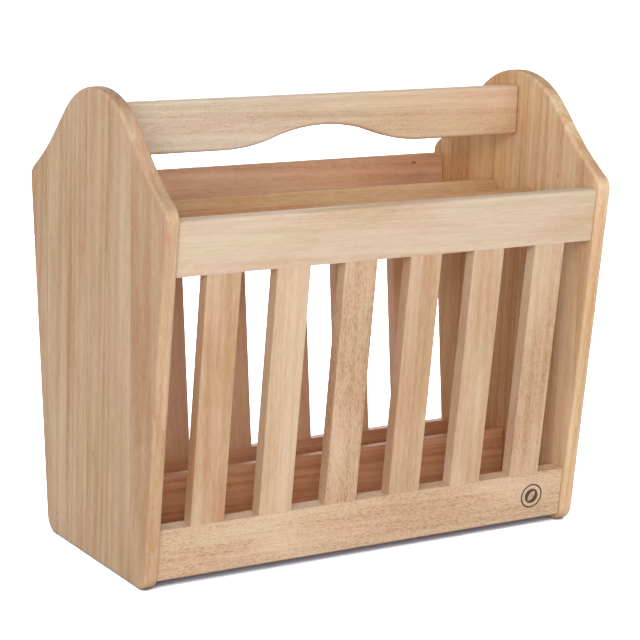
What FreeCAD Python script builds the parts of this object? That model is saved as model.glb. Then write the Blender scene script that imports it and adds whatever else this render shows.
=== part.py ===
import FreeCAD, Part
import math
import os
import Sketcher

# A wooden magazine rack: two shaped end panels joined by a carrying handle, leaning slatted sides, a base,
# a low centre board and a tilted pair of divider rails. Every board is a separate piece, held by blind dowels
# and stub tenons.
#
# Frame: origin on the floor under the middle of the rack, X along the rack, -Y to the front, +Z up, millimetres.

DIMENSIONS = {
    "overall_length": 410.0,
    "board": 12.0,
    # end panels
    "floor_half_depth": 90.4,
    "lean_angle": 6.28,
    "shoulder_height": 299.6,
    "shoulder_angle": 35.0,
    "shoulder_radius": 12.0,
    "hollow_radius": 195.0,
    "flank_angle": 45.0,
    "crown_radius": 80.4,
    "crown_height": 380.0,
    "foot_radius": 14.0,
    "panel_easing": 3.0,
    # slatted sides, measured up the slope of the side
    "rail_setback": 3.6,
    "rail_width": 43.0,
    "bottom_rail_start": 6.4,
    "top_rail_start": 252.2,
    "bottom_rail_easing": 2.0,
    "top_rail_easing": 3.0,
    "end_easing": 1.0,
    "slat_width": 29.5,
    "slat_pitch": 60.5,
    "slat_easing": 1.0,
    "tenon_width": 19.5,
    "tenon_thickness": 6.0,
    "tenon_length": 10.0,
    # handle
    "handle_top": 367.4,
    "handle_width": 42.0,
    "arch_half_span": 94.0,
    "arch_height": 16.6,
    "handle_easing": 3.0,
    # middle of the rack
    "centre_board_top": 62.8,
    "centre_board_width": 42.0,
    "centre_board_easing": 3.0,
    "divider_tilt": 40.0,
    "divider_half_spread": 26.8,
    "divider_top": 283.0,
    "divider_easing": 2.0,
    # dowels
    "dowel_diameter": 6.0,
    "dowel_length": 30.0,
    "dowel_in_panel": 8.0,
    "dowel_edge_distance": 11.0,
    "divider_dowel_drop": 16.0,
    "base_dowel_spacing": 50.0,
}
SLATS_PER_SIDE = 6
FRONT, BACK = -1, 1
LEFT, RIGHT = -1, 1
SIDE_NAMES = {FRONT: "front", BACK: "back"}

# Expressions in the sheet's names that several pieces share.
INNER_HALF = "(dims.overall_length / 2 - dims.board)"
SIDE_FOOT = "(dims.floor_half_depth - dims.rail_setback)"
HANDLE_BOTTOM = "(dims.handle_top - dims.handle_width)"
CENTRE_BOTTOM = "(dims.centre_board_top - dims.centre_board_width)"
BASE_BOTTOM = f"({CENTRE_BOTTOM} - dims.board)"
SLAT_START = "(dims.bottom_rail_start + dims.rail_width)"
SLAT_LENGTH = f"(dims.top_rail_start - {SLAT_START})"
DOWEL_IN_RAIL = "(dims.dowel_length - dims.dowel_in_panel)"
FIRST_SLAT = f"(-{(SLATS_PER_SIDE - 1) / 2} * dims.slat_pitch)"

MIDDLE = "0"

ALONG_X = FreeCAD.Vector(1, 0, 0)
ALONG_Y = FreeCAD.Vector(0, 1, 0)
ALONG_Z = FreeCAD.Vector(0, 0, 1)
TOLERANCE = 0.01

doc = FreeCAD.newDocument("magazine_rack")
sheet = doc.addObject("Spreadsheet::Sheet", "dims")
for row, (alias, dimension_value) in enumerate(DIMENSIONS.items(), start=1):
    sheet.set(f"A{row}", alias)
    sheet.set(f"B{row}", str(dimension_value))
    sheet.setAlias(f"B{row}", alias)
doc.recompute()


def value(alias):
    """The number in the sheet's cell of that name."""
    return float(getattr(sheet, alias))


def new_body(label, x="0", y="0", z="0", tilt=None):
    """An empty body placed by expressions. tilt is +1 or -1 for the sense of the lean about X."""
    body = doc.addObject("PartDesign::Body", label)
    body.Label = label
    if tilt:
        axis = FreeCAD.Vector(tilt, 0, 0)
        body.Placement = FreeCAD.Placement(FreeCAD.Vector(), FreeCAD.Rotation(axis, value("lean_angle")))
        body.setExpression(".Placement.Rotation.Angle", "dims.lean_angle")
    for direction, expression in zip("xyz", (x, y, z)):
        body.setExpression(f".Placement.Base.{direction}", expression)
    return body


def origin_feature(body, role):
    """One of the body's own origin planes or axes."""
    return next(feature for feature in body.Origin.OriginFeatures if feature.Role == role)


def new_sketch(body, name, plane, shift=None, lift=None):
    """A sketch on an origin plane, moved along its own X by shift and off the plane by lift."""
    sketch = body.newObject("Sketcher::SketchObject", name)
    sketch.AttachmentSupport = [(origin_feature(body, plane), "")]
    sketch.MapMode = "FlatFace"
    if shift:
        sketch.setExpression(".AttachmentOffset.Base.x", shift)
    if lift:
        sketch.setExpression(".AttachmentOffset.Base.z", lift)
    return sketch


def constrain(sketch, *constraints):
    """Geometric constraints, each a tuple such as ("Tangent", 2, 2, 3, 2)."""
    for constraint in constraints:
        sketch.addConstraint(Sketcher.Constraint(*constraint))


def measure(sketch, kind, geometry):
    """What a dimension of that kind reads on the sketch as drawn."""
    if len(geometry) == 4:
        step = sketch.getPoint(*geometry[2:]) - sketch.getPoint(*geometry[:2])
        return step.x if kind == "DistanceX" else step.y
    drawn = sketch.Geometry[geometry[0]]
    if kind == "Angle":
        step = drawn.EndPoint - drawn.StartPoint
        return math.atan2(step.y, step.x)
    if kind == "Distance":
        return drawn.length()
    return drawn.Radius if kind == "Radius" else 2 * drawn.Radius


def dimension(sketch, name, kind, geometry, expression):
    """A driving dimension bound to an expression in the sheet's names. Angles are in degrees."""
    index = sketch.addConstraint(Sketcher.Constraint(kind, *geometry, measure(sketch, kind, geometry)))
    sketch.renameConstraint(index, name)
    sketch.setExpression(f"Constraints.{name}", f"({expression}) * 1 deg" if kind == "Angle" else expression)


def line(start, end):
    """A sketch line between two (x, y) points."""
    return Part.LineSegment(FreeCAD.Vector(*start, 0), FreeCAD.Vector(*end, 0))


def arc(centre, radius, start_degrees, end_degrees):
    """A sketch arc, counter-clockwise from the first angle to the second."""
    circle = Part.Circle(FreeCAD.Vector(*centre, 0), ALONG_Z, radius)
    return Part.ArcOfCircle(circle, math.radians(start_degrees), math.radians(end_degrees))


def closed_loop(sketch, corners):
    """Lines from corner to corner and back to the first."""
    count = len(corners)
    sketch.addGeometry([line(corners[i], corners[(i + 1) % count]) for i in range(count)])
    constrain(sketch, *[("Coincident", i, 2, (i + 1) % count, 1) for i in range(count)])


def rectangle(sketch, width, bottom, height):
    """A rectangle centred on the sketch's vertical axis. It is drawn small, and its dimensions stretch it."""
    closed_loop(sketch, [(-1, 0), (1, 0), (1, 1), (-1, 1)])
    constrain(sketch, ("Symmetric", 0, 1, 0, 2, -2), ("Vertical", 1), ("Horizontal", 2), ("Vertical", 3))
    dimension(sketch, "width", "DistanceX", (0, 1, 0, 2), width)
    dimension(sketch, "bottom", "DistanceY", (-1, 1, 0, 1), bottom)
    dimension(sketch, "height", "DistanceY", (1, 1, 1, 2), height)


def holes(sketch, points):
    """Dowel circles at points given as pairs of expressions."""
    for number, (across, up) in enumerate(points):
        sketch.addGeometry(Part.Circle(FreeCAD.Vector(), ALONG_Z, value("dowel_diameter") / 2))
        dimension(sketch, f"diameter_{number}", "Diameter", (number,), "dims.dowel_diameter")
        if across == MIDDLE:
            constrain(sketch, ("PointOnObject", number, 3, -2))
        else:
            dimension(sketch, f"across_{number}", "DistanceX", (-1, 1, number, 3), across)
        dimension(sketch, f"up_{number}", "DistanceY", (-1, 1, number, 3), up)


def extrude(kind, body, sketch, length, symmetric=True, backwards=False):
    """A Pad or Pocket of a sketch, symmetric about its plane unless told otherwise."""
    before = body.Shape.Volume if kind == "Pocket" else 0
    feature = body.newObject(f"PartDesign::{kind}", f"{kind}_{sketch.Name}")
    feature.Profile = sketch
    feature.SideType = "Symmetric" if symmetric else "One side"
    feature.Reversed = backwards
    feature.setExpression("Length", length)
    doc.recompute()
    if kind == "Pocket" and body.Shape.Volume > before - TOLERANCE:
        raise RuntimeError(f"{feature.Name} cuts nothing")
    return feature


def fillet(body, radius, chosen):
    """Rounds the edges of the body's tip that chosen(edge) accepts."""
    base = body.Tip
    names = [f"Edge{i}" for i, edge in enumerate(base.Shape.Edges, start=1) if chosen(edge)]
    feature = body.newObject("PartDesign::Fillet", f"Fillet_{body.Name}")
    feature.Base = (base, names)
    feature.setExpression("Radius", radius)
    doc.recompute()
    return feature


def transform(kind, body, original, direction_property, support, length=None, count=None):
    """A Mirrored or LinearPattern of one feature, made the body's tip."""
    feature = body.newObject(f"PartDesign::{kind}", f"{kind}_{original.Name}")
    feature.Originals = [original]
    setattr(feature, direction_property, (origin_feature(body, support), [""]))
    if count:
        feature.setExpression("Length", length)
        feature.Occurrences = count
    body.Tip = feature
    doc.recompute()
    return feature


def runs_along(edge, direction):
    """Whether an edge is straight and parallel to one of the global directions."""
    if not isinstance(edge.Curve, Part.Line):
        return False
    return abs(abs(edge.Curve.Direction.dot(direction)) - 1) < TOLERANCE


def on_side(side, slope, depth):
    """Expressions for Y and Z of a point on a slatted side: slope up from the floor, depth in from its face."""
    lean = "dims.lean_angle"
    across = f"{side} * ({SIDE_FOOT} + ({slope}) * sin({lean}) - ({depth}) * cos({lean}))"
    up = f"(({slope}) * cos({lean}) + ({depth}) * sin({lean}))"
    return across, up


def two_across(bottom, top):
    """Heights of the two dowels of a board end, each one edge distance in from its edge."""
    return f"({bottom} + dims.dowel_edge_distance)", f"({top} - dims.dowel_edge_distance)"


# Heights of the dowels, up the slope for the rails and straight up for the boards.
BOTTOM_RAIL_DOWELS = two_across("dims.bottom_rail_start", SLAT_START)
TOP_RAIL_DOWELS = two_across("dims.top_rail_start", "(dims.top_rail_start + dims.rail_width)")
HANDLE_DOWELS = two_across(HANDLE_BOTTOM, "dims.handle_top")
CENTRE_BOARD_DOWELS = two_across(CENTRE_BOTTOM, "dims.centre_board_top")
BASE_DOWEL_HEIGHT = f"({BASE_BOTTOM} + dims.board / 2)"
BASE_DOWEL_PLACES = ["-dims.base_dowel_spacing", MIDDLE, "dims.base_dowel_spacing"]


def divider_dowel(side):
    """Expressions for Y and Z of a divider rail's dowel, on the middle of its thickness."""
    across = "dims.divider_half_spread + dims.board / 2 * cos(dims.divider_tilt)"
    across += " - dims.divider_dowel_drop * sin(dims.divider_tilt)"
    up = "(dims.divider_top - dims.board / 2 * sin(dims.divider_tilt)"
    up += " - dims.divider_dowel_drop * cos(dims.divider_tilt))"
    return f"{side} * ({across})", up


def side_dowels(heights):
    """Dowel places in the frame of an end panel for a rail on each side."""
    return [on_side(side, height, "dims.board / 2") for side in (FRONT, BACK) for height in heights]


# Every dowel of one rack end, in the frame of the end panel, by the joint that it belongs to.
DOWELS = {
    "handle_dowels": [(MIDDLE, height) for height in HANDLE_DOWELS],
    "top_rail_dowels": side_dowels(TOP_RAIL_DOWELS),
    "bottom_rail_dowels": side_dowels(BOTTOM_RAIL_DOWELS),
    "divider_dowels": [divider_dowel(side) for side in (FRONT, BACK)],
    "centre_board_dowels": [(MIDDLE, height) for height in CENTRE_BOARD_DOWELS],
    "base_dowels": [(place, BASE_DOWEL_HEIGHT) for place in BASE_DOWEL_PLACES],
}


def shoulder_depth():
    """How far the corner of an end panel's shoulder is from the middle of the rack."""
    return value("floor_half_depth") + value("shoulder_height") * math.tan(math.radians(value("lean_angle")))


def panel_half_outline(sketch):
    """Half of the panel's outline: floor, leaning edge, shoulder, hollow flank and round crown."""
    shoulder_angle, flank_angle = value("shoulder_angle"), value("flank_angle")
    crown_radius, hollow_radius = value("crown_radius"), value("hollow_radius")
    foot = (value("floor_half_depth"), 0)
    shoulder = (shoulder_depth(), value("shoulder_height"))
    crown_centre = (0, value("crown_height") - crown_radius)
    shoulder_normal = (math.sin(math.radians(shoulder_angle)), math.cos(math.radians(shoulder_angle)))
    flank_normal = (math.sin(math.radians(flank_angle)), math.cos(math.radians(flank_angle)))

    # The hollow's centre lies one hollow radius outside both the shoulder line and the flank line.
    shoulder_offset = sum(n * p for n, p in zip(shoulder_normal, shoulder)) + hollow_radius
    flank_offset = sum(n * p for n, p in zip(flank_normal, crown_centre)) + crown_radius + hollow_radius
    cross = shoulder_normal[0] * flank_normal[1] - shoulder_normal[1] * flank_normal[0]
    hollow_centre = (
        (shoulder_offset * flank_normal[1] - flank_offset * shoulder_normal[1]) / cross,
        (flank_offset * shoulder_normal[0] - shoulder_offset * flank_normal[0]) / cross,
    )
    hollow_low = tuple(c - hollow_radius * n for c, n in zip(hollow_centre, shoulder_normal))
    hollow_high = tuple(c - hollow_radius * n for c, n in zip(hollow_centre, flank_normal))
    crown_edge = tuple(c + crown_radius * n for c, n in zip(crown_centre, flank_normal))
    apex = (0, value("crown_height"))

    sketch.addGeometry([
        line((0, 0), foot),
        line(foot, shoulder),
        line(shoulder, hollow_low),
        arc(hollow_centre, hollow_radius, 270 - flank_angle, 270 - shoulder_angle),
        line(hollow_high, crown_edge),
        arc(crown_centre, crown_radius, 90 - flank_angle, 90),
        line(apex, (0, 0)),
    ])
    constrain(
        sketch,
        ("Coincident", 0, 1, -1, 1),
        ("Coincident", 0, 2, 1, 1),
        ("Coincident", 1, 2, 2, 1),
        ("Tangent", 2, 2, 3, 2),
        ("Tangent", 3, 1, 4, 1),
        ("Tangent", 4, 2, 5, 1),
        ("Coincident", 5, 2, 6, 1),
        ("Coincident", 6, 2, 0, 1),
        ("Horizontal", 0),
        ("PointOnObject", 5, 2, -2),
        ("PointOnObject", 5, 3, -2),
    )
    dimension(sketch, "foot", "DistanceX", (0, 1, 0, 2), "dims.floor_half_depth")
    dimension(sketch, "lean", "Angle", (1,), "90 - dims.lean_angle")
    dimension(sketch, "shoulder", "DistanceY", (-1, 1, 1, 2), "dims.shoulder_height")
    dimension(sketch, "shoulder_slope", "Angle", (2,), "180 - dims.shoulder_angle")
    dimension(sketch, "flank_slope", "Angle", (4,), "180 - dims.flank_angle")
    dimension(sketch, "hollow", "Radius", (3,), "dims.hollow_radius")
    dimension(sketch, "crown", "Radius", (5,), "dims.crown_radius")
    dimension(sketch, "apex", "DistanceY", (-1, 1, 5, 2), "dims.crown_height")


def make_end_panel(label, end):
    """An end panel. Its frame has X = 0 on the inner face."""
    body = new_body(label, x=f"{end} * {INNER_HALF}")
    outline = new_sketch(body, f"outline_{label}", "YZ_Plane")
    panel_half_outline(outline)
    half = extrude("Pad", body, outline, "dims.board", symmetric=False, backwards=end == LEFT)
    transform("Mirrored", body, half, "MirrorPlane", "XZ_Plane")

    def is_corner(depth):
        return lambda edge: runs_along(edge, ALONG_X) and abs(abs(edge.CenterOfMass.y) - depth) < TOLERANCE

    fillet(body, "dims.shoulder_radius", is_corner(shoulder_depth()))
    fillet(body, "dims.foot_radius", is_corner(value("floor_half_depth")))
    fillet(body, "dims.panel_easing", lambda edge: edge.BoundBox.XLength < TOLERANCE)

    dowel_holes = new_sketch(body, f"dowel_holes_{label}", "YZ_Plane")
    holes(dowel_holes, [place for places in DOWELS.values() for place in places])
    extrude("Pocket", body, dowel_holes, "dims.dowel_in_panel", symmetric=False, backwards=end == RIGHT)
    return body


def bore_ends(body, places):
    """Dowel holes in both ends of a board that runs from panel to panel."""
    sketch = new_sketch(body, f"end_holes_{body.Name}", "YZ_Plane", lift=INNER_HALF)
    holes(sketch, places)
    pocket = extrude("Pocket", body, sketch, DOWEL_IN_RAIL, symmetric=False)
    transform("Mirrored", body, pocket, "MirrorPlane", "YZ_Plane")


def new_side_body(label, side, x="0"):
    """A body in the frame of a slatted side: Z up the slope from the floor, Y = 0 at mid-thickness."""
    across, up = on_side(side, "0", "dims.board / 2")
    return new_body(label, x=x, y=across, z=up, tilt=-side)


def ease_ends(body):
    """Rounds the edges round both end faces of a board that runs from panel to panel."""
    fillet(body, "dims.end_easing", lambda edge: edge.BoundBox.XLength < TOLERANCE)


def make_rail(label, side, start, slat_edge, easing, dowel_heights):
    """A leaning rail with a mortise for each slat. slat_edge is where the mortises start, up the slope."""
    body = new_side_body(label, side)
    outline = new_sketch(body, f"outline_{label}", "XZ_Plane")
    rectangle(outline, f"2 * {INNER_HALF}", start, "dims.rail_width")
    extrude("Pad", body, outline, "dims.board")

    limits = body.Tip.Shape.BoundBox
    free_edge = limits.ZMax if slat_edge == start else limits.ZMin
    fillet(
        body,
        easing,
        lambda edge: runs_along(edge, ALONG_X) and abs(edge.CenterOfMass.z - free_edge) < TOLERANCE,
    )
    ease_ends(body)
    mortise = new_sketch(body, f"mortise_{label}", "XZ_Plane", shift=FIRST_SLAT)
    rectangle(mortise, "dims.tenon_width", slat_edge, "dims.tenon_length")
    pocket = extrude("Pocket", body, mortise, "dims.tenon_thickness")
    span = f"{SLATS_PER_SIDE - 1} * dims.slat_pitch"
    transform("LinearPattern", body, pocket, "Direction", "X_Axis", length=span, count=SLATS_PER_SIDE)
    bore_ends(body, [(MIDDLE, height) for height in dowel_heights])
    return body


def make_slat(label, side, index):
    """A slat between the two rails of a side, with a stub tenon on each end."""
    body = new_side_body(label, side, x=f"{FIRST_SLAT} + {index} * dims.slat_pitch")
    blade = new_sketch(body, f"blade_{label}", "XZ_Plane")
    rectangle(blade, "dims.slat_width", SLAT_START, SLAT_LENGTH)
    extrude("Pad", body, blade, "dims.board")
    fillet(body, "dims.slat_easing", lambda edge: runs_along(edge, ALONG_Z))
    tenon = new_sketch(body, f"tenon_{label}", "XZ_Plane")
    tenon_start = f"{SLAT_START} - dims.tenon_length"
    rectangle(tenon, "dims.tenon_width", tenon_start, f"{SLAT_LENGTH} + 2 * dims.tenon_length")
    extrude("Pad", body, tenon, "dims.tenon_thickness")
    return body


def make_handle(label):
    """The carrying board, with a shallow arch for the hand in its lower edge."""
    body = new_body(label)
    outline = new_sketch(body, f"outline_{label}", "XZ_Plane")
    span, arch_height = value("arch_half_span"), value("arch_height")
    radius = (span**2 + arch_height**2) / (4 * arch_height)
    turn = math.degrees(math.asin(span / 2 / radius))
    half = value("overall_length") / 2 - value("board")
    high = value("handle_top")
    low = high - value("handle_width")
    crown_centre = (0, low + arch_height - radius)
    outline.addGeometry([
        line((-half, low), (-span, low)),
        arc((-span, low + radius), radius, 270, 270 + turn),
        arc(crown_centre, radius, 90 - turn, 90 + turn),
        arc((span, low + radius), radius, 270 - turn, 270),
        line((span, low), (half, low)),
        line((half, low), (half, high)),
        line((half, high), (-half, high)),
        line((-half, high), (-half, low)),
    ])
    constrain(
        outline,
        ("Tangent", 0, 2, 1, 1),
        ("Tangent", 1, 2, 2, 2),
        ("Tangent", 2, 1, 3, 1),
        ("Tangent", 3, 2, 4, 1),
        ("Coincident", 4, 2, 5, 1),
        ("Coincident", 5, 2, 6, 1),
        ("Coincident", 6, 2, 7, 1),
        ("Coincident", 7, 2, 0, 1),
        ("Horizontal", 0),
        ("Horizontal", 4),
        ("Vertical", 5),
        ("Vertical", 7),
        ("Equal", 1, 2),
        ("Equal", 2, 3),
        ("PointOnObject", 2, 3, -2),
        ("Symmetric", 6, 1, 6, 2, -2),
    )
    dimension(outline, "length", "DistanceX", (6, 2, 6, 1), f"2 * {INNER_HALF}")
    dimension(outline, "bottom", "DistanceY", (-1, 1, 0, 1), HANDLE_BOTTOM)
    dimension(outline, "height", "DistanceY", (5, 1, 5, 2), "dims.handle_width")
    dimension(outline, "arch_span", "DistanceX", (0, 2, 4, 1), "2 * dims.arch_half_span")
    arch_radius = "(pow(dims.arch_half_span; 2) + pow(dims.arch_height; 2)) / (4 * dims.arch_height)"
    dimension(outline, "arch_radius", "Radius", (2,), arch_radius)
    extrude("Pad", body, outline, "dims.board")
    fillet(body, "dims.handle_easing", lambda edge: True)
    bore_ends(body, DOWELS["handle_dowels"])
    return body


def make_centre_board(label):
    """The upright board that stands on the base between the two compartments."""
    body = new_body(label)
    outline = new_sketch(body, f"outline_{label}", "XZ_Plane")
    rectangle(outline, f"2 * {INNER_HALF}", CENTRE_BOTTOM, "dims.centre_board_width")
    extrude("Pad", body, outline, "dims.board")
    fillet(body, "dims.centre_board_easing", lambda edge: True)
    bore_ends(body, DOWELS["centre_board_dowels"])
    return body


def make_base(label):
    """The floor of the rack. Its long edges are bevelled to meet the leaning bottom rails."""
    body = new_body(label)
    outline = new_sketch(body, f"outline_{label}", "YZ_Plane")
    half_depth = f"({SIDE_FOOT} + {BASE_BOTTOM} * tan(dims.lean_angle) - dims.board / cos(dims.lean_angle))"
    closed_loop(outline, [(-5, 0), (5, 0), (6, 1), (-6, 1)])
    constrain(outline, ("Symmetric", 0, 1, 0, 2, -2), ("Symmetric", 2, 1, 2, 2, -2))
    dimension(outline, "depth", "DistanceX", (0, 1, 0, 2), f"2 * {half_depth}")
    dimension(outline, "bottom", "DistanceY", (-1, 1, 0, 1), BASE_BOTTOM)
    dimension(outline, "thickness", "DistanceY", (1, 1, 1, 2), "dims.board")
    dimension(outline, "bevel", "Angle", (1,), "90 - dims.lean_angle")
    extrude("Pad", body, outline, f"2 * {INNER_HALF}")
    bore_ends(body, DOWELS["base_dowels"])
    return body


def make_divider_rail(label, side):
    """One of the two tilted rails that meet in a mitre under the handle. It is modelled as the back one."""
    body = new_body(label)
    if side == FRONT:
        body.Placement.Rotation = FreeCAD.Rotation(ALONG_Z, 180)
    outline = new_sketch(body, f"outline_{label}", "YZ_Plane")
    spread, top, board = value("divider_half_spread"), value("divider_top"), value("board")
    tilt = math.radians(value("divider_tilt"))
    inner_top = (spread, top)
    outer_top = (spread + board * math.cos(tilt), top - board * math.sin(tilt))
    inner_low = (0, top - spread / math.tan(tilt))
    outer_low = (0, inner_low[1] - board / math.sin(tilt))
    closed_loop(outline, [inner_low, inner_top, outer_top, outer_low])
    constrain(
        outline,
        ("PointOnObject", 0, 1, -2),
        ("PointOnObject", 3, 1, -2),
        ("Perpendicular", 0, 1),
        ("Parallel", 0, 2),
    )
    dimension(outline, "slope", "Angle", (0,), "90 - dims.divider_tilt")
    dimension(outline, "spread", "DistanceX", (-1, 1, 1, 1), "dims.divider_half_spread")
    dimension(outline, "top", "DistanceY", (-1, 1, 1, 1), "dims.divider_top")
    dimension(outline, "thickness", "Distance", (1,), "dims.board")
    extrude("Pad", body, outline, f"2 * {INNER_HALF}")
    fillet(body, "dims.divider_easing", lambda edge: runs_along(edge, ALONG_X) and edge.CenterOfMass.y > TOLERANCE)
    ease_ends(body)
    bore_ends(body, [divider_dowel(BACK)])
    return body


def make_dowels(label, places):
    """The dowels of one joint at both ends of the rack, as one group of equal pins."""
    pins = []
    starts = {LEFT: f"-({INNER_HALF} + dims.dowel_in_panel)", RIGHT: f"{INNER_HALF} - {DOWEL_IN_RAIL}"}
    for end, start in starts.items():
        for across, up in places:
            pin = doc.addObject("Part::Cylinder", f"pin_{label}")
            pin.Placement.Rotation = FreeCAD.Rotation(ALONG_Y, 90)
            pin.setExpression("Radius", "dims.dowel_diameter / 2")
            pin.setExpression("Height", "dims.dowel_length")
            pin.setExpression(".Placement.Base.x", start)
            pin.setExpression(".Placement.Base.y", across)
            pin.setExpression(".Placement.Base.z", up)
            pins.append(pin)
    group = doc.addObject("Part::Compound", label)
    group.Label = label
    group.Links = pins
    return group


def make_side(side):
    """The rails and slats of the front or back."""
    name = SIDE_NAMES[side]
    mortise_top = f"({SLAT_START} - dims.tenon_length)"
    bottom, top = "dims.bottom_rail_start", "dims.top_rail_start"
    rails = [
        make_rail(f"{name}_bottom_rail", side, bottom, mortise_top, "dims.bottom_rail_easing", BOTTOM_RAIL_DOWELS),
        make_rail(f"{name}_top_rail", side, top, top, "dims.top_rail_easing", TOP_RAIL_DOWELS),
    ]
    return rails + [make_slat(f"{name}_slat_{i + 1}", side, i) for i in range(SLATS_PER_SIDE)]


parts = [
    make_end_panel("left_end_panel", LEFT),
    make_end_panel("right_end_panel", RIGHT),
    make_handle("handle_board"),
    make_centre_board("centre_board"),
    make_base("base_board"),
    make_divider_rail("front_divider_rail", FRONT),
    make_divider_rail("rear_divider_rail", BACK),
]
parts += make_side(FRONT) + make_side(BACK)
parts += [make_dowels(label, places) for label, places in DOWELS.items()]
doc.recompute()

for item in doc.Objects:
    if "Invalid" in item.State or "Error" in item.State:
        raise RuntimeError(f"{item.Label} failed: {item.State}")
for part in parts:
    if part.Shape.isNull() or not part.Shape.isValid():
        raise RuntimeError(f"{part.Label} has no valid shape")

os.makedirs("parts", exist_ok=True)
for part in parts:
    part.Shape.exportStep(f"parts/{part.Label}.step")
    print(f"{part.Label}: {len(part.Shape.Solids)} solid(s), {part.Shape.Volume / 1000:.1f} cm3")
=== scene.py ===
import math
from dataclasses import dataclass

import bpy
from mathutils import Matrix, Vector


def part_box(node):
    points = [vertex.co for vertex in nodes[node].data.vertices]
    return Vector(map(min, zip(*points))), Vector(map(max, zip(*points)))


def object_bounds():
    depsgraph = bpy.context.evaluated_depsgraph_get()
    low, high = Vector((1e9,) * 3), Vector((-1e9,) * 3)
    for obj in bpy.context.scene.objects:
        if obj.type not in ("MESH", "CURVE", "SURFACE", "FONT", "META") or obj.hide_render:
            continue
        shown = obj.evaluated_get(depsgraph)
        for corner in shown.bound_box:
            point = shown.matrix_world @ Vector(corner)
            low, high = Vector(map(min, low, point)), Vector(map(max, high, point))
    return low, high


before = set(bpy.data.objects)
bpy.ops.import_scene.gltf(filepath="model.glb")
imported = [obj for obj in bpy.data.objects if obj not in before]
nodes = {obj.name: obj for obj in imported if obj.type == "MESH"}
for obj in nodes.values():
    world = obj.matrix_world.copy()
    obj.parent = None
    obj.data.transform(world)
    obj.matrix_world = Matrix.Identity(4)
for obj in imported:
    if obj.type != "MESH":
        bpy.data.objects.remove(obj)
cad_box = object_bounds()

MM = 0.001
scene = bpy.context.scene

# ---------------------------------------------------------------- node helpers


class Graph:
    """Short calls for building a node tree. An input is a socket to link, or a plain value."""

    def __init__(self, tree):
        self.tree = tree

    def give(self, node, key, given):
        """Links a socket to the node's input of that name or index, or sets the input to a value."""
        if isinstance(given, bpy.types.NodeSocket):
            self.tree.links.new(given, node.inputs[key])
        else:
            node.inputs[key].default_value = given

    def node(self, kind, inputs=(), **settings):
        """A node with its settings, and its inputs given as (name or index, socket or value) pairs."""
        made = self.tree.nodes.new(kind)
        for name, setting in settings.items():
            setattr(made, name, setting)
        for key, given in inputs:
            self.give(made, key, given)
        return made

    def math(self, operation, *operands, clamp=False):
        """An arithmetic operation on numbers, held to 0..1 if clamp is true."""
        made = self.node("ShaderNodeMath", enumerate(operands), operation=operation, use_clamp=clamp)
        return made.outputs[0]

    def vector_math(self, operation, *operands):
        """An operation on vectors, which gives a number or a vector."""
        made = self.node("ShaderNodeVectorMath", enumerate(operands), operation=operation)
        return made.outputs["Value" if operation in ("DOT_PRODUCT", "LENGTH") else "Vector"]

    def combine(self, x, y, z):
        """A vector made of three numbers."""
        return self.node("ShaderNodeCombineXYZ", enumerate((x, y, z))).outputs[0]

    def separate(self, vector):
        """The three numbers of a vector."""
        return self.node("ShaderNodeSeparateXYZ", [(0, vector)]).outputs

    def coordinate(self, name):
        """One of Blender's texture coordinates of the shaded point."""
        return self.node("ShaderNodeTexCoord").outputs[name]

    def stretch(self, vector, per_metre):
        """The vector scaled so that one unit is one feature of a texture."""
        return self.vector_math("MULTIPLY", vector, per_metre)

    def noise(self, vector, detail=2.0, roughness=0.5, distortion=0.0):
        """Noise in space, about 0.5 on average."""
        inputs = [
            ("Vector", vector),
            ("Scale", 1.0),
            ("Detail", detail),
            ("Roughness", roughness),
            ("Distortion", distortion),
        ]
        return self.node("ShaderNodeTexNoise", inputs, noise_dimensions="3D").outputs["Fac"]

    def noise_line(self, position, detail):
        """Noise along one number, about 0.5 on average."""
        inputs = [("W", position), ("Scale", 1.0), ("Detail", detail), ("Roughness", 0.5)]
        return self.node("ShaderNodeTexNoise", inputs, noise_dimensions="1D").outputs["Fac"]

    def ramp(self, value, low, high, to_low=0.0, to_high=1.0, smooth=True):
        """value taken from low..high to to_low..to_high, and held there outside."""
        inputs = [(0, value), (1, low), (2, high), (3, to_low), (4, to_high)]
        kind = "SMOOTHSTEP" if smooth else "LINEAR"
        return self.node("ShaderNodeMapRange", inputs, interpolation_type=kind).outputs[0]

    def sway(self, value, amount, base, clamp=False):
        """base raised or lowered as value, which runs from 0 to 1, leaves its middle."""
        return self.math("MULTIPLY_ADD", self.math("SUBTRACT", value, 0.5), amount, base, clamp=clamp)

    def mix(self, amount, first, second, blend="MIX"):
        """Two colours mixed."""
        inputs = [(0, amount), (6, first), (7, second)]
        return self.node("ShaderNodeMix", inputs, data_type="RGBA", blend_type=blend).outputs[2]

    def tint(self, color, tint, amount=1.0):
        """A colour multiplied by a tint, as far as amount says."""
        return self.mix(amount, color, tint, "MULTIPLY")


def srgb(red, green, blue):
    """A colour given in 0..255 display values, as the linear colour that Blender wants."""

    def linear(channel):
        channel /= 255
        return channel / 12.92 if channel <= 0.04045 else ((channel + 0.055) / 1.055) ** 2.4

    return (linear(red), linear(green), linear(blue), 1.0)


# ---------------------------------------------------------------- grain

# Features per metre (along the grain, across it, through the board).
WARP_SCALE = (3.0, 14.0, 14.0)
BLOTCH_SCALE = (7.0, 38.0, 38.0)
STREAK_SCALE = (4.5, 190.0, 190.0)
FIBRE_SCALE = (45.0, 900.0, 900.0)
FLECK_SCALE = (110.0, 480.0, 480.0)
PORE_SCALE = (230.0, 1250.0, 1250.0)
CAST_SCALE = (14.0, 45.0, 45.0)

# Growth bands and the fine lines in them, counted over the distance from the pith.
BANDS_PER_METRE = 210.0
LINES_PER_METRE = 1100.0
PITH_SLOPE = 0.035
WARP_DEPTH = 9 * MM

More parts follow.
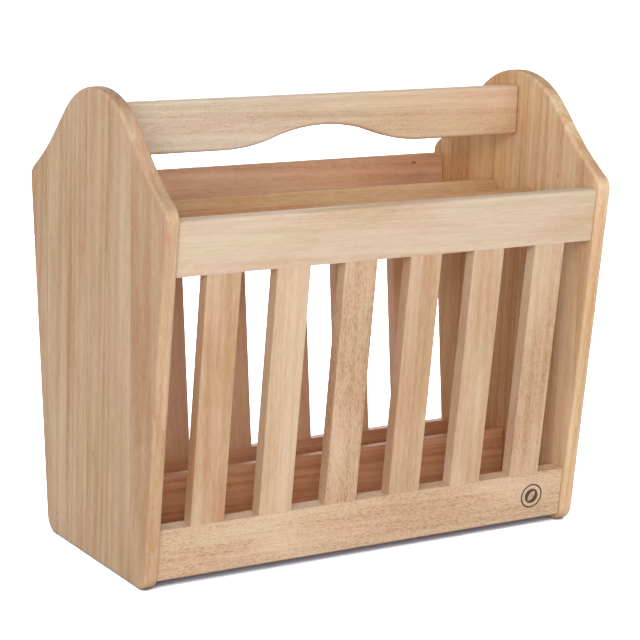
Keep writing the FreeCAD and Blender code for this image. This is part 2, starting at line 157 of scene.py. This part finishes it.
# The part of each noise's spread that becomes 0..1.
BAND_RANGE = (0.3, 0.7)
LINE_RANGE = (0.35, 0.75)
BLOTCH_RANGE = (0.28, 0.72)
STREAK_RANGE = (0.46, 0.78)
FIBRE_RANGE = (0.25, 0.75)
CAST_RANGE = (0.3, 0.7)

# How far each feature moves the tone, which is 0 for pale and 1 for tan. The lines' share is of the bands'.
LINE_CONTRAST = 0.3
BLOTCH_CONTRAST = 0.55
FLECK_CONTRAST = 0.75

# How a blotch and a band thin the pores out, as (low, high, least, most), and the pores' reach and soft rim.
BLOTCH_PORES = (0.0, 0.8, 0.6, 1.0)
BAND_PORES = (0.0, 1.0, 0.8, 1.0)
PORE_REACH = 0.56
PORE_RIM = (-0.06, 0.2)

# Tints that multiply the wood's colour, and how far they are taken.
PINK_CAST = (1.06, 0.98, 1.02, 1.0)
YELLOW_CAST = (0.97, 1.0, 0.90, 1.0)
CAST_AMOUNT = 0.55
FIBRE_SHADES = (0.93, 1.05)
PORE_TINT = (0.46, 0.31, 0.20, 1.0)
PORE_AMOUNT = 0.5
END_GRAIN_TINT = (0.60, 0.47, 0.37, 1.0)
END_GRAIN_AMOUNT = 0.5
EDGE_TINT = (0.80, 0.72, 0.64, 1.0)
EDGE_AMOUNT = 0.15

LACQUER_ROUGHNESS = 0.36
FLECK_ROUGHNESS = 0.14
PORE_ROUGHNESS = 0.18
END_GRAIN_ROUGHNESS = 0.12

# Heights are shares of the relief.
RELIEF = 0.25 * MM
FIBRE_HEIGHT = 0.22
LINE_HEIGHT = 0.08
PORE_HEIGHT = -0.9


def make_grain_group():
    """The figure of rubberwood as a node group: growth bands round a pith, fibres, streaks and pores."""
    tree = bpy.data.node_groups.new("rubberwood_grain", "ShaderNodeTree")
    inputs = [
        ("Place", "NodeSocketVector"),
        ("Pith", "NodeSocketVector"),
        ("Bands", "NodeSocketFloat"),
        ("Streaks", "NodeSocketFloat"),
        ("Pores", "NodeSocketFloat"),
        ("Tone", "NodeSocketFloat"),
        ("End grain", "NodeSocketFloat"),
        ("Edge", "NodeSocketFloat"),
        ("Pale", "NodeSocketColor"),
        ("Tan", "NodeSocketColor"),
        ("Brown", "NodeSocketColor"),
    ]
    outputs = [("Color", "NodeSocketColor"), ("Roughness", "NodeSocketFloat"), ("Height", "NodeSocketFloat")]
    for direction, sockets in (("INPUT", inputs), ("OUTPUT", outputs)):
        for name, kind in sockets:
            tree.interface.new_socket(name, in_out=direction, socket_type=kind)
    g = Graph(tree)
    given = g.node("NodeGroupInput").outputs
    place = given["Place"]

    # Distance from the pith, which wanders and is not quite parallel to the board.
    warp = g.noise(g.stretch(place, WARP_SCALE), detail=2.5)
    along, across, through = g.separate(place)
    pith_across, pith_through = g.separate(given["Pith"])[1:]
    off_across = g.math("MULTIPLY_ADD", along, PITH_SLOPE, g.math("SUBTRACT", across, pith_across))
    off_through = g.math("SUBTRACT", through, pith_through)
    radius = g.vector_math("LENGTH", g.combine(off_across, off_through, 0.0))
    radius = g.sway(warp, WARP_DEPTH, radius)

    bands = g.ramp(g.noise_line(g.math("MULTIPLY", radius, BANDS_PER_METRE), detail=2.0), *BAND_RANGE)
    lines = g.ramp(g.noise_line(g.math("MULTIPLY", radius, LINES_PER_METRE), detail=1.0), *LINE_RANGE)
    blotch = g.ramp(g.noise(g.stretch(place, BLOTCH_SCALE), detail=3.0), *BLOTCH_RANGE)
    streak = g.ramp(g.noise(g.stretch(place, STREAK_SCALE), distortion=0.3), *STREAK_RANGE)
    fibre = g.noise(g.stretch(place, FIBRE_SCALE), roughness=0.6)
    fleck = g.noise(g.stretch(place, FLECK_SCALE), roughness=0.6)
    cast = g.ramp(g.noise(g.stretch(place, CAST_SCALE), detail=3.0), *CAST_RANGE)

    # Pores are short dark dashes along the grain, in belts that follow the bands.
    cells = g.node(
        "ShaderNodeTexVoronoi",
        [("Vector", g.stretch(place, PORE_SCALE)), ("Scale", 1.0), ("Randomness", 1.0)],
        feature="F1",
    )
    belt = g.math("MULTIPLY", g.ramp(blotch, *BLOTCH_PORES), g.ramp(bands, *BAND_PORES))
    reach = g.math("MULTIPLY", g.math("MULTIPLY", belt, given["Pores"]), PORE_REACH)
    pore = g.ramp(g.math("SUBTRACT", reach, cells.outputs["Distance"]), *PORE_RIM)

    tone = g.sway(bands, given["Bands"], given["Tone"])
    tone = g.sway(lines, g.math("MULTIPLY", given["Bands"], LINE_CONTRAST), tone)
    tone = g.sway(blotch, BLOTCH_CONTRAST, tone)
    tone = g.sway(fleck, FLECK_CONTRAST, tone, clamp=True)
    color = g.mix(tone, given["Pale"], given["Tan"])
    color = g.tint(color, g.mix(cast, PINK_CAST, YELLOW_CAST), CAST_AMOUNT)
    color = g.mix(g.math("MULTIPLY", streak, given["Streaks"], clamp=True), color, given["Brown"])
    fibre_shade = g.ramp(fibre, *FIBRE_RANGE, *FIBRE_SHADES, smooth=False)
    color = g.tint(color, g.combine(fibre_shade, fibre_shade, fibre_shade))
    color = g.tint(color, PORE_TINT, g.math("MULTIPLY", pore, PORE_AMOUNT))
    color = g.tint(color, END_GRAIN_TINT, g.math("MULTIPLY", given["End grain"], END_GRAIN_AMOUNT))
    color = g.tint(color, EDGE_TINT, g.math("MULTIPLY", given["Edge"], EDGE_AMOUNT))

    roughness = g.math("MULTIPLY_ADD", fleck, FLECK_ROUGHNESS, LACQUER_ROUGHNESS)
    roughness = g.math("MULTIPLY_ADD", pore, PORE_ROUGHNESS, roughness)
    roughness = g.math("MULTIPLY_ADD", given["End grain"], END_GRAIN_ROUGHNESS, roughness)
    height = g.math("MULTIPLY_ADD", fibre, FIBRE_HEIGHT, g.math("MULTIPLY", pore, PORE_HEIGHT))
    height = g.math("MULTIPLY_ADD", lines, LINE_HEIGHT, height)
    g.node("NodeGroupOutput", [("Color", color), ("Roughness", roughness), ("Height", height)])
    return tree


grain_group = make_grain_group()

# ---------------------------------------------------------------- wood of one board

# Each palette is the pale and the tan between which a board's tone runs.
PLAIN = (srgb(219, 194, 166), srgb(190, 147, 110))
PANEL = (srgb(217, 191, 161), srgb(187, 142, 103))
GOLD = (srgb(232, 204, 167), srgb(200, 150, 104))
HONEY = (srgb(217, 184, 142), srgb(186, 134, 87))
CREAM = (srgb(218, 198, 176), srgb(199, 164, 131))
OAT = (srgb(224, 197, 169), srgb(198, 156, 119))
RED = (srgb(230, 179, 140), srgb(204, 140, 99))
ROSE = (srgb(233, 190, 156), srgb(208, 154, 117))
STREAK_BROWN = srgb(150, 98, 62)

# How far apart in the figure the wood of one seed and the next lies, in metres.
SEED_STEP = (1.37, 0.61, 0.29)

END_GRAIN_RANGE = (0.62, 0.98)
EDGE_RADIUS = 1.6 * MM
EDGE_RANGE = (0.98, 0.75)
EDGE_SAMPLES = 4
BUMP_STRENGTH = 0.35
SPECULAR = 0.45
COAT_WEIGHT = 0.12
COAT_ROUGHNESS = 0.32


@dataclass
class Board:
    """How one board is cut: its directions in the frame, and the look of its wood (pith in millimetres)."""

    along: Vector
    across: Vector
    seed: int
    palette: tuple = PLAIN
    tone: float = 0.4
    bands: float = 0.35
    streaks: float = 0.3
    pores: float = 0.6
    pith: tuple = (0.0, 5.0, -45.0)


def board_place(g, board):
    """The shaded point in the board's own directions, in metres."""
    point = g.coordinate("Object")
    directions = (board.along, board.across, board.along.cross(board.across))
    return g.combine(*[g.vector_math("DOT_PRODUCT", point, tuple(direction)) for direction in directions])


def end_grain_factor(g, board):
    """1 where the surface cuts across the fibres, 0 on faces along them."""
    facing = g.math("ABSOLUTE", g.vector_math("DOT_PRODUCT", g.coordinate("Normal"), tuple(board.along)))
    return g.ramp(facing, *END_GRAIN_RANGE)


def edge_factor(g):
    """How near the point is to a sharp or eased edge."""
    rounded = g.node("ShaderNodeBevel", [("Radius", EDGE_RADIUS)], samples=EDGE_SAMPLES).outputs[0]
    true_normal = g.node("ShaderNodeNewGeometry").outputs["Normal"]
    return g.ramp(g.vector_math("DOT_PRODUCT", rounded, true_normal), *EDGE_RANGE)


def wood_material(name, board, decorate=None):
    """The lacquered wood of one board. decorate(g, place, grain, color) returns a changed colour."""
    material = bpy.data.materials.new(name)
    material.use_nodes = True
    tree = material.node_tree
    tree.nodes.clear()
    g = Graph(tree)
    place = board_place(g, board)
    pale, tan = board.palette
    shift = Vector([board.seed * step for step in SEED_STEP])
    inputs = [
        ("Place", g.vector_math("ADD", place, tuple(shift))),
        ("Pith", tuple(Vector(board.pith) * MM + shift)),
        ("Bands", board.bands),
        ("Streaks", board.streaks),
        ("Pores", board.pores),
        ("Tone", board.tone),
        ("End grain", end_grain_factor(g, board)),
        ("Edge", edge_factor(g)),
        ("Pale", pale),
        ("Tan", tan),
        ("Brown", STREAK_BROWN),
    ]
    grain = g.node("ShaderNodeGroup", inputs, node_tree=grain_group)
    color = grain.outputs["Color"]
    if decorate:
        color = decorate(g, place, grain, color)
    height = grain.outputs["Height"]
    bump = g.node("ShaderNodeBump", [("Strength", BUMP_STRENGTH), ("Distance", RELIEF), ("Height", height)])
    surface = g.node(
        "ShaderNodeBsdfPrincipled",
        [
            ("Base Color", color),
            ("Roughness", grain.outputs["Roughness"]),
            ("Normal", bump.outputs[0]),
            ("Specular IOR Level", SPECULAR),
            ("Coat Weight", COAT_WEIGHT),
            ("Coat Roughness", COAT_ROUGHNESS),
        ],
    )
    g.node("ShaderNodeOutputMaterial", [("Surface", surface.outputs[0])])
    return material


# ---------------------------------------------------------------- decorations
# Each makes a decorate function for wood_material. Places and sizes on a board are in millimetres, and the
# leaf's lean is in degrees. A rim is a pair: where a soft edge starts, and where the colour is full.
# A knot's rim and wobble are shares of its size.

ALONG = 0
ACROSS = 1

GLUE_RIM = (0.45, 0.1)
GLUE_TINT = (0.50, 0.36, 0.27, 1.0)
GLUE_AMOUNT = 0.55
PANEL_FACE_RANGE = (0.7, 0.95)

# How far apart in the figure the wood of neighbouring staves lies, in metres.
STAVE_STEP = (0.83, 0.031, 0.017)

MARK_RING = 10.2
MARK_RING_RIM = (0.85, 0.55)
MARK_DISC = 6.6
MARK_DISC_BLUR = 0.15
LEAF_LEAN = 35.0
LEAF_RADIUS = 7.4
LEAF_OFFSET = 4.9
LEAF_BLUR = 0.1
LEAF_VEIN_RIM = (0.15, 0.35)
MARK_TINT = (0.09, 0.05, 0.035, 1.0)
MARK_AMOUNT = 0.95
OUTWARD_NORMAL_Y = -0.9

KNOT_WOBBLE_SCALE = (300.0, 300.0, 300.0)
KNOT_WOBBLE = 0.9
KNOT_RIM = (1.0, 0.2)
KNOT_TINT = (0.34, 0.20, 0.12, 1.0)


def staves(glue_lines, tones):
    """An edge-glued panel: every stave has its own tone and its own piece of tree."""

    def decorate(g, place, grain, color):
        across = g.separate(place)[ACROSS]
        index, glue = 0.0, 0.0
        for line in glue_lines:
            index = g.math("ADD", index, g.math("GREATER_THAN", across, line * MM))
            near = g.math("ABSOLUTE", g.math("SUBTRACT", across, line * MM))
            glue = g.math("MAXIMUM", glue, g.ramp(near, *[edge * MM for edge in GLUE_RIM]))
        share = g.math("DIVIDE", g.math("ADD", index, 0.5), float(len(tones)))
        steps = g.node("ShaderNodeValToRGB", [(0, share)])
        steps.color_ramp.interpolation = "CONSTANT"
        stops = steps.color_ramp.elements
        while len(stops) < len(tones):
            stops.new(1.0)
        for number, tone in enumerate(tones):
            stops[number].position = number / len(tones)
            stops[number].color = (tone, tone, tone, 1.0)
        g.give(grain, "Tone", steps.outputs[0])
        moved = g.combine(*[g.math("MULTIPLY", index, step) for step in STAVE_STEP])
        old_place = grain.inputs["Place"].links[0].from_socket
        g.give(grain, "Place", g.vector_math("ADD", old_place, moved))
        facing = g.math("ABSOLUTE", g.separate(g.coordinate("Normal"))[0])
        glue = g.math("MULTIPLY", glue, g.ramp(facing, *PANEL_FACE_RANGE))
        return g.tint(color, GLUE_TINT, g.math("MULTIPLY", glue, GLUE_AMOUNT))

    return decorate


def burnt_mark(centre_along, centre_across):
    """A small round mark burnt into the outer face: a plain ring, and in it a disc with a clear leaf."""

    def decorate(g, place, grain, color):
        along, across = g.separate(place)[:2]
        x = g.math("SUBTRACT", along, centre_along * MM)
        y = g.math("SUBTRACT", across, centre_across * MM)
        radius = g.vector_math("LENGTH", g.combine(x, y, 0.0))
        gap = g.math("ABSOLUTE", g.math("SUBTRACT", radius, MARK_RING * MM))
        ring = g.ramp(gap, *[edge * MM for edge in MARK_RING_RIM])
        disc = g.ramp(radius, (MARK_DISC + MARK_DISC_BLUR) * MM, (MARK_DISC - MARK_DISC_BLUR) * MM)

        # The leaf is where two circles overlap, less its vein.
        lean = math.radians(LEAF_LEAN)
        tip_x, tip_y = math.sin(lean), math.cos(lean)
        side = g.math("SUBTRACT", g.math("MULTIPLY", x, tip_y), g.math("MULTIPLY", y, tip_x))
        side = g.math("ABSOLUTE", side)
        length = g.math("ADD", g.math("MULTIPLY", x, tip_x), g.math("MULTIPLY", y, tip_y))
        rim = g.vector_math("LENGTH", g.combine(g.math("ADD", side, LEAF_OFFSET * MM), length, 0.0))
        leaf = g.ramp(rim, (LEAF_RADIUS + LEAF_BLUR) * MM, (LEAF_RADIUS - LEAF_BLUR) * MM)
        leaf = g.math("MULTIPLY", leaf, g.ramp(side, *[edge * MM for edge in LEAF_VEIN_RIM]))

        burnt = g.math("MAXIMUM", ring, g.math("SUBTRACT", disc, leaf, clamp=True))
        outward = g.math("LESS_THAN", g.separate(g.coordinate("Normal"))[1], OUTWARD_NORMAL_Y)
        burnt = g.math("MULTIPLY", burnt, outward)
        return g.tint(color, MARK_TINT, g.math("MULTIPLY", burnt, MARK_AMOUNT))

    return decorate


def knots(places, then=None):
    """Small knots, each (along, across, length, width, strength), on top of another decoration, if any."""

    def decorate(g, place, grain, color):
        if then:
            color = then(g, place, grain, color)
        along, across = g.separate(place)[:2]
        noise = g.noise(g.stretch(place, KNOT_WOBBLE_SCALE))
        wobble = g.math("MULTIPLY", g.math("SUBTRACT", noise, 0.5), KNOT_WOBBLE)
        for knot_along, knot_across, length, width, strength in places:
            u = g.math("DIVIDE", g.math("SUBTRACT", along, knot_along * MM), length * MM)
            v = g.math("DIVIDE", g.math("SUBTRACT", across, knot_across * MM), width * MM)
            reach = g.math("ADD", g.vector_math("LENGTH", g.combine(u, v, 0.0)), wobble)
            color = g.tint(color, KNOT_TINT, g.math("MULTIPLY", g.ramp(reach, *KNOT_RIM), strength))
        return color

    return decorate


def drift(axis, start, stop, start_tint, stop_tint, then=None):
    """A slow change of colour from start to stop on an axis of the board, ALONG or ACROSS."""

    def decorate(g, place, grain, color):
        if then:
            color = then(g, place, grain, color)
        share = g.ramp(g.separate(place)[axis], start * MM, stop * MM)
        return g.tint(color, g.mix(share, (*start_tint, 1.0), (*stop_tint, 1.0)))

    return decorate


# ---------------------------------------------------------------- the boards

X_AXIS = Vector((1, 0, 0))
Y_AXIS = Vector((0, 1, 0))
Z_AXIS = Vector((0, 0, 1))


def paint(node_name, material):
    """Gives a CAD node that material in every slot."""
    materials = nodes[node_name].data.materials
    for index in range(len(materials)):
        materials[index] = material


def centre(node_name):
    """The middle of a CAD node's box."""
    low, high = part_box(node_name)
    return (low + high) / 2


def slope_of(side):
    """Unit vector up the slope of a slatted side."""
    return (centre(f"{side}_top_rail") - centre(f"{side}_bottom_rail")).normalized()


# The end panels. Glue lines and knots are in millimetres: across from the middle, and up from the floor.
PANEL_FIGURE = {"bands": 0.34, "streaks": 0.14, "pores": 0.5, "pith": (0, 10, -60)}
LEFT_GLUE = (-105.0, -65.4, -26.6, 12.7, 51.0, 89.5)
LEFT_TONES = (0.58, 0.62, 0.44, 0.60, 0.52, 0.40, 0.45)
LEFT_KNOTS = [(88.8, 1.3, 3.4, 1.0, 0.8), (19.4, 70.8, 2.6, 1.6, 0.6)]
RIGHT_GLUE = (-100.0, -70.0, -47.8, -18.9, 11.5, 30.0, 64.0, 98.0)
RIGHT_TONES = (0.32, 0.36, 0.42, 0.58, 0.48, 0.62, 0.50, 0.60, 0.5)
RIGHT_KNOTS = [(297.4, -65.6, 3.0, 1.5, 0.6)]
NO_TINT = (1.0, 1.0, 1.0)
AMBER_TINT = (0.97, 0.85, 0.66)

left_board = Board(Z_AXIS, Y_AXIS, 1, PANEL, **PANEL_FIGURE)
left_look = knots(LEFT_KNOTS, then=staves(LEFT_GLUE, LEFT_TONES))
paint("left_end_panel", wood_material("left_panel_wood", left_board, left_look))
right_board = Board(Z_AXIS, Y_AXIS, 2, GOLD, **PANEL_FIGURE)
right_look = knots(RIGHT_KNOTS, then=staves(RIGHT_GLUE, RIGHT_TONES))
right_look = drift(ACROSS, -40.0, 50.0, NO_TINT, AMBER_TINT, then=right_look)
paint("right_end_panel", wood_material("right_panel_wood", right_board, right_look))

# The rails, the handle, the inner boards and the slats.
FRONT_SLAT_TONES = (0.7, 0.34, 0.45, 0.5, 0.36, 0.48)
FRONT_SLAT_PORES = (0.35, 0.35, 0.95, 0.4, 0.35, 0.8)
FRONT_SLAT_SEED = 20
BACK_SLAT_SEED = 30
DOWEL_SEED = 40

front_slope = slope_of("front")
back_slope = slope_of("back")
divider_figure = {"bands": 0.2, "streaks": 0.1, "pores": 0.4}
slat_figure = {"bands": 0.2, "streaks": 0.07}
boards = {
    "handle_board": Board(X_AXIS, Z_AXIS, 3, CREAM, tone=0.3, bands=0.3, streaks=0.15, pores=0.62),
    "front_top_rail": Board(X_AXIS, front_slope, 4, CREAM, tone=0.34, bands=0.28, streaks=0.08, pores=0.5),
    "front_bottom_rail": Board(X_AXIS, front_slope, 5, OAT, tone=0.25, bands=0.12, streaks=0.1, pores=0.9),
    "back_top_rail": Board(X_AXIS, back_slope, 6, ROSE, tone=0.5, bands=0.3, streaks=0.15),
    "back_bottom_rail": Board(X_AXIS, back_slope, 7, RED, tone=0.5, bands=0.3, pores=0.5),
    "centre_board": Board(X_AXIS, Z_AXIS, 8, RED, tone=0.6, bands=0.5),
    "base_board": Board(X_AXIS, Y_AXIS, 9, tone=0.6, bands=0.3),
    "front_divider_rail": Board(X_AXIS, Z_AXIS, 10, HONEY, tone=0.6, **divider_figure),
    "rear_divider_rail": Board(X_AXIS, Z_AXIS, 11, HONEY, tone=0.6, **divider_figure),
}
for index, (tone, pores) in enumerate(zip(FRONT_SLAT_TONES, FRONT_SLAT_PORES)):
    front_slat = Board(front_slope, X_AXIS, FRONT_SLAT_SEED + index, tone=tone, pores=pores, **slat_figure)
    back_slat = Board(back_slope, X_AXIS, BACK_SLAT_SEED + index, ROSE, tone=0.2, pores=0.5, **slat_figure)
    boards[f"front_slat_{index + 1}"] = front_slat
    boards[f"back_slat_{index + 1}"] = back_slat

# The burnt mark is set in from the rail's right end, and the knot up from the middle of its rail.
MARK_IN_FROM_END = 31.0
KNOT_ABOVE_MIDDLE = 14.0
COOL_TINT = (1.0, 1.06, 1.11)
WARM_TINT = (1.0, 0.92, 0.80)
mark_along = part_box("front_bottom_rail")[1].x / MM - MARK_IN_FROM_END
mark_across = centre("front_bottom_rail").dot(front_slope) / MM
knot_across = centre("back_top_rail").dot(back_slope) / MM + KNOT_ABOVE_MIDDLE
decorations = {
    "front_bottom_rail": burnt_mark(mark_along, mark_across),
    "back_top_rail": knots([(162.0, knot_across, 2.8, 1.6, 0.95)]),
    "handle_board": drift(ALONG, -150.0, 170.0, COOL_TINT, WARM_TINT),
}
for name, board in boards.items():
    paint(name, wood_material(f"{name}_wood", board, decorations.get(name)))

dowel_wood = wood_material("dowel_wood", Board(X_AXIS, Z_AXIS, DOWEL_SEED, tone=0.2))
for name in nodes:
    if name.endswith("_dowels"):
        paint(name, dowel_wood)

# ---------------------------------------------------------------- stage

FLOOR_SIZE = 60.0
FLOOR_DROP = 0.2 * MM
FLOOR_COLOR = (0.84, 0.82, 0.92, 1.0)
FLOOR_BOUNCE_COLOR = (0.150, 0.138, 0.125, 1.0)
FLOOR_ROUGHNESS = 0.9
FLOOR_SPECULAR = 0.1

FLOOR_SUN_STRENGTH = 10.0
FLOOR_SUN_SPREAD = 70.0
FLOOR_SUN_TURN = (18.0, -12.0, 0.0)
FLOOR_SUN_HEIGHT = 3.0

# Each softbox is its name, its place, its side in metres and its power in watts.
SOFTBOXES = [
    ("key", (-1.8, -2.2, 1.15), 1.6, 46.0),
    ("front", (0.9, -2.6, 0.9), 1.2, 12.0),
    ("back", (1.2, 2.6, 0.9), 1.2, 8.0),
]

BACKDROP_STRENGTH = 1.05
ZENITH_STRENGTH = 0.34
HORIZON_STRENGTH = 0.82

CAMERA_AZIMUTH = -31.287
CAMERA_ELEVATION = 12.415
CAMERA_ROLL = 1.378
CAMERA_DISTANCE = 1.8081
CAMERA_LENS = 122.05
CAMERA_SENSOR = 36.0
CAMERA_AIM = (2.16 * MM, 0.0, 177.95 * MM)
CAMERA_REACH = 200.0


def make_floor():
    """A wide pale floor just under the feet. It reflects less light on the rack than the camera sees."""
    half = FLOOR_SIZE / 2
    corners = [(-half, -half, 0), (half, -half, 0), (half, half, 0), (-half, half, 0)]
    mesh = bpy.data.meshes.new("floor")
    mesh.from_pydata(corners, [], [(0, 1, 2, 3)])
    floor = bpy.data.objects.new("floor", mesh)
    floor.location.z = cad_box[0].z - FLOOR_DROP
    scene.collection.objects.link(floor)
    material = bpy.data.materials.new("studio_floor")
    material.use_nodes = True
    surface = material.node_tree.nodes["Principled BSDF"]
    g = Graph(material.node_tree)
    seen = g.node("ShaderNodeLightPath").outputs["Is Camera Ray"]
    g.give(surface, "Base Color", g.mix(seen, FLOOR_BOUNCE_COLOR, FLOOR_COLOR))
    g.give(surface, "Roughness", FLOOR_ROUGHNESS)
    g.give(surface, "Specular IOR Level", FLOOR_SPECULAR)
    mesh.materials.append(material)
    return floor


def light_floor(floor):
    """A wide sun on the floor alone, so that it stays white while the rack keeps its softer light."""
    data = bpy.data.lights.new("floor_sun", "SUN")
    data.energy = FLOOR_SUN_STRENGTH
    data.angle = math.radians(FLOOR_SUN_SPREAD)
    light = bpy.data.objects.new("floor_sun", data)
    light.location.z = FLOOR_SUN_HEIGHT
    light.rotation_euler = [math.radians(turn) for turn in FLOOR_SUN_TURN]
    scene.collection.objects.link(light)
    lit = bpy.data.collections.new("lit_by_floor_sun")
    lit.objects.link(floor)
    light.light_linking.receiver_collection = lit


def make_softbox(name, place, size, power):
    """A square area light aimed at the middle of the rack."""
    data = bpy.data.lights.new(name, "AREA")
    data.size = size
    data.energy = power
    light = bpy.data.objects.new(name, data)
    light.location = place
    target = (cad_box[0] + cad_box[1]) / 2
    light.rotation_euler = (target - light.location).to_track_quat("-Z", "Y").to_euler()
    scene.collection.objects.link(light)


def make_world():
    """Soft white light, weaker from above. The camera sees a plain white backdrop in its place."""
    world = bpy.data.worlds.new("studio")
    world.use_nodes = True
    background = world.node_tree.nodes["Background"]
    g = Graph(world.node_tree)
    height = g.separate(g.coordinate("Generated"))[2]
    dome = g.ramp(height, 0.0, 1.0, HORIZON_STRENGTH, ZENITH_STRENGTH, smooth=False)
    seen = g.node("ShaderNodeLightPath").outputs["Is Camera Ray"]
    unseen = g.math("SUBTRACT", 1.0, seen)
    strength = g.math("ADD", g.math("MULTIPLY", seen, BACKDROP_STRENGTH), g.math("MULTIPLY", unseen, dome))
    g.give(background, "Color", (1.0, 1.0, 1.0, 1.0))
    g.give(background, "Strength", strength)
    scene.world = world


def make_camera():
    """The camera, set by where it looks, from which angle and how far off."""
    azimuth = math.radians(CAMERA_AZIMUTH)
    elevation = math.radians(CAMERA_ELEVATION)
    back = Vector((
        math.sin(azimuth) * math.cos(elevation),
        -math.cos(azimuth) * math.cos(elevation),
        math.sin(elevation),
    ))
    data = bpy.data.cameras.new("camera")
    data.lens = CAMERA_LENS
    data.sensor_width = CAMERA_SENSOR
    data.clip_end = CAMERA_REACH
    camera = bpy.data.objects.new("camera", data)
    camera.rotation_mode = "QUATERNION"
    turn = back.to_track_quat("Z", "Y")
    roll = Matrix.Rotation(math.radians(CAMERA_ROLL), 3, "Z").to_quaternion()
    camera.rotation_quaternion = turn @ roll
    camera.location = Vector(CAMERA_AIM) + back * CAMERA_DISTANCE
    scene.collection.objects.link(camera)
    scene.camera = camera


light_floor(make_floor())
make_world()
for softbox in SOFTBOXES:
    make_softbox(*softbox)
make_camera()
scene.view_settings.view_transform = "Standard"
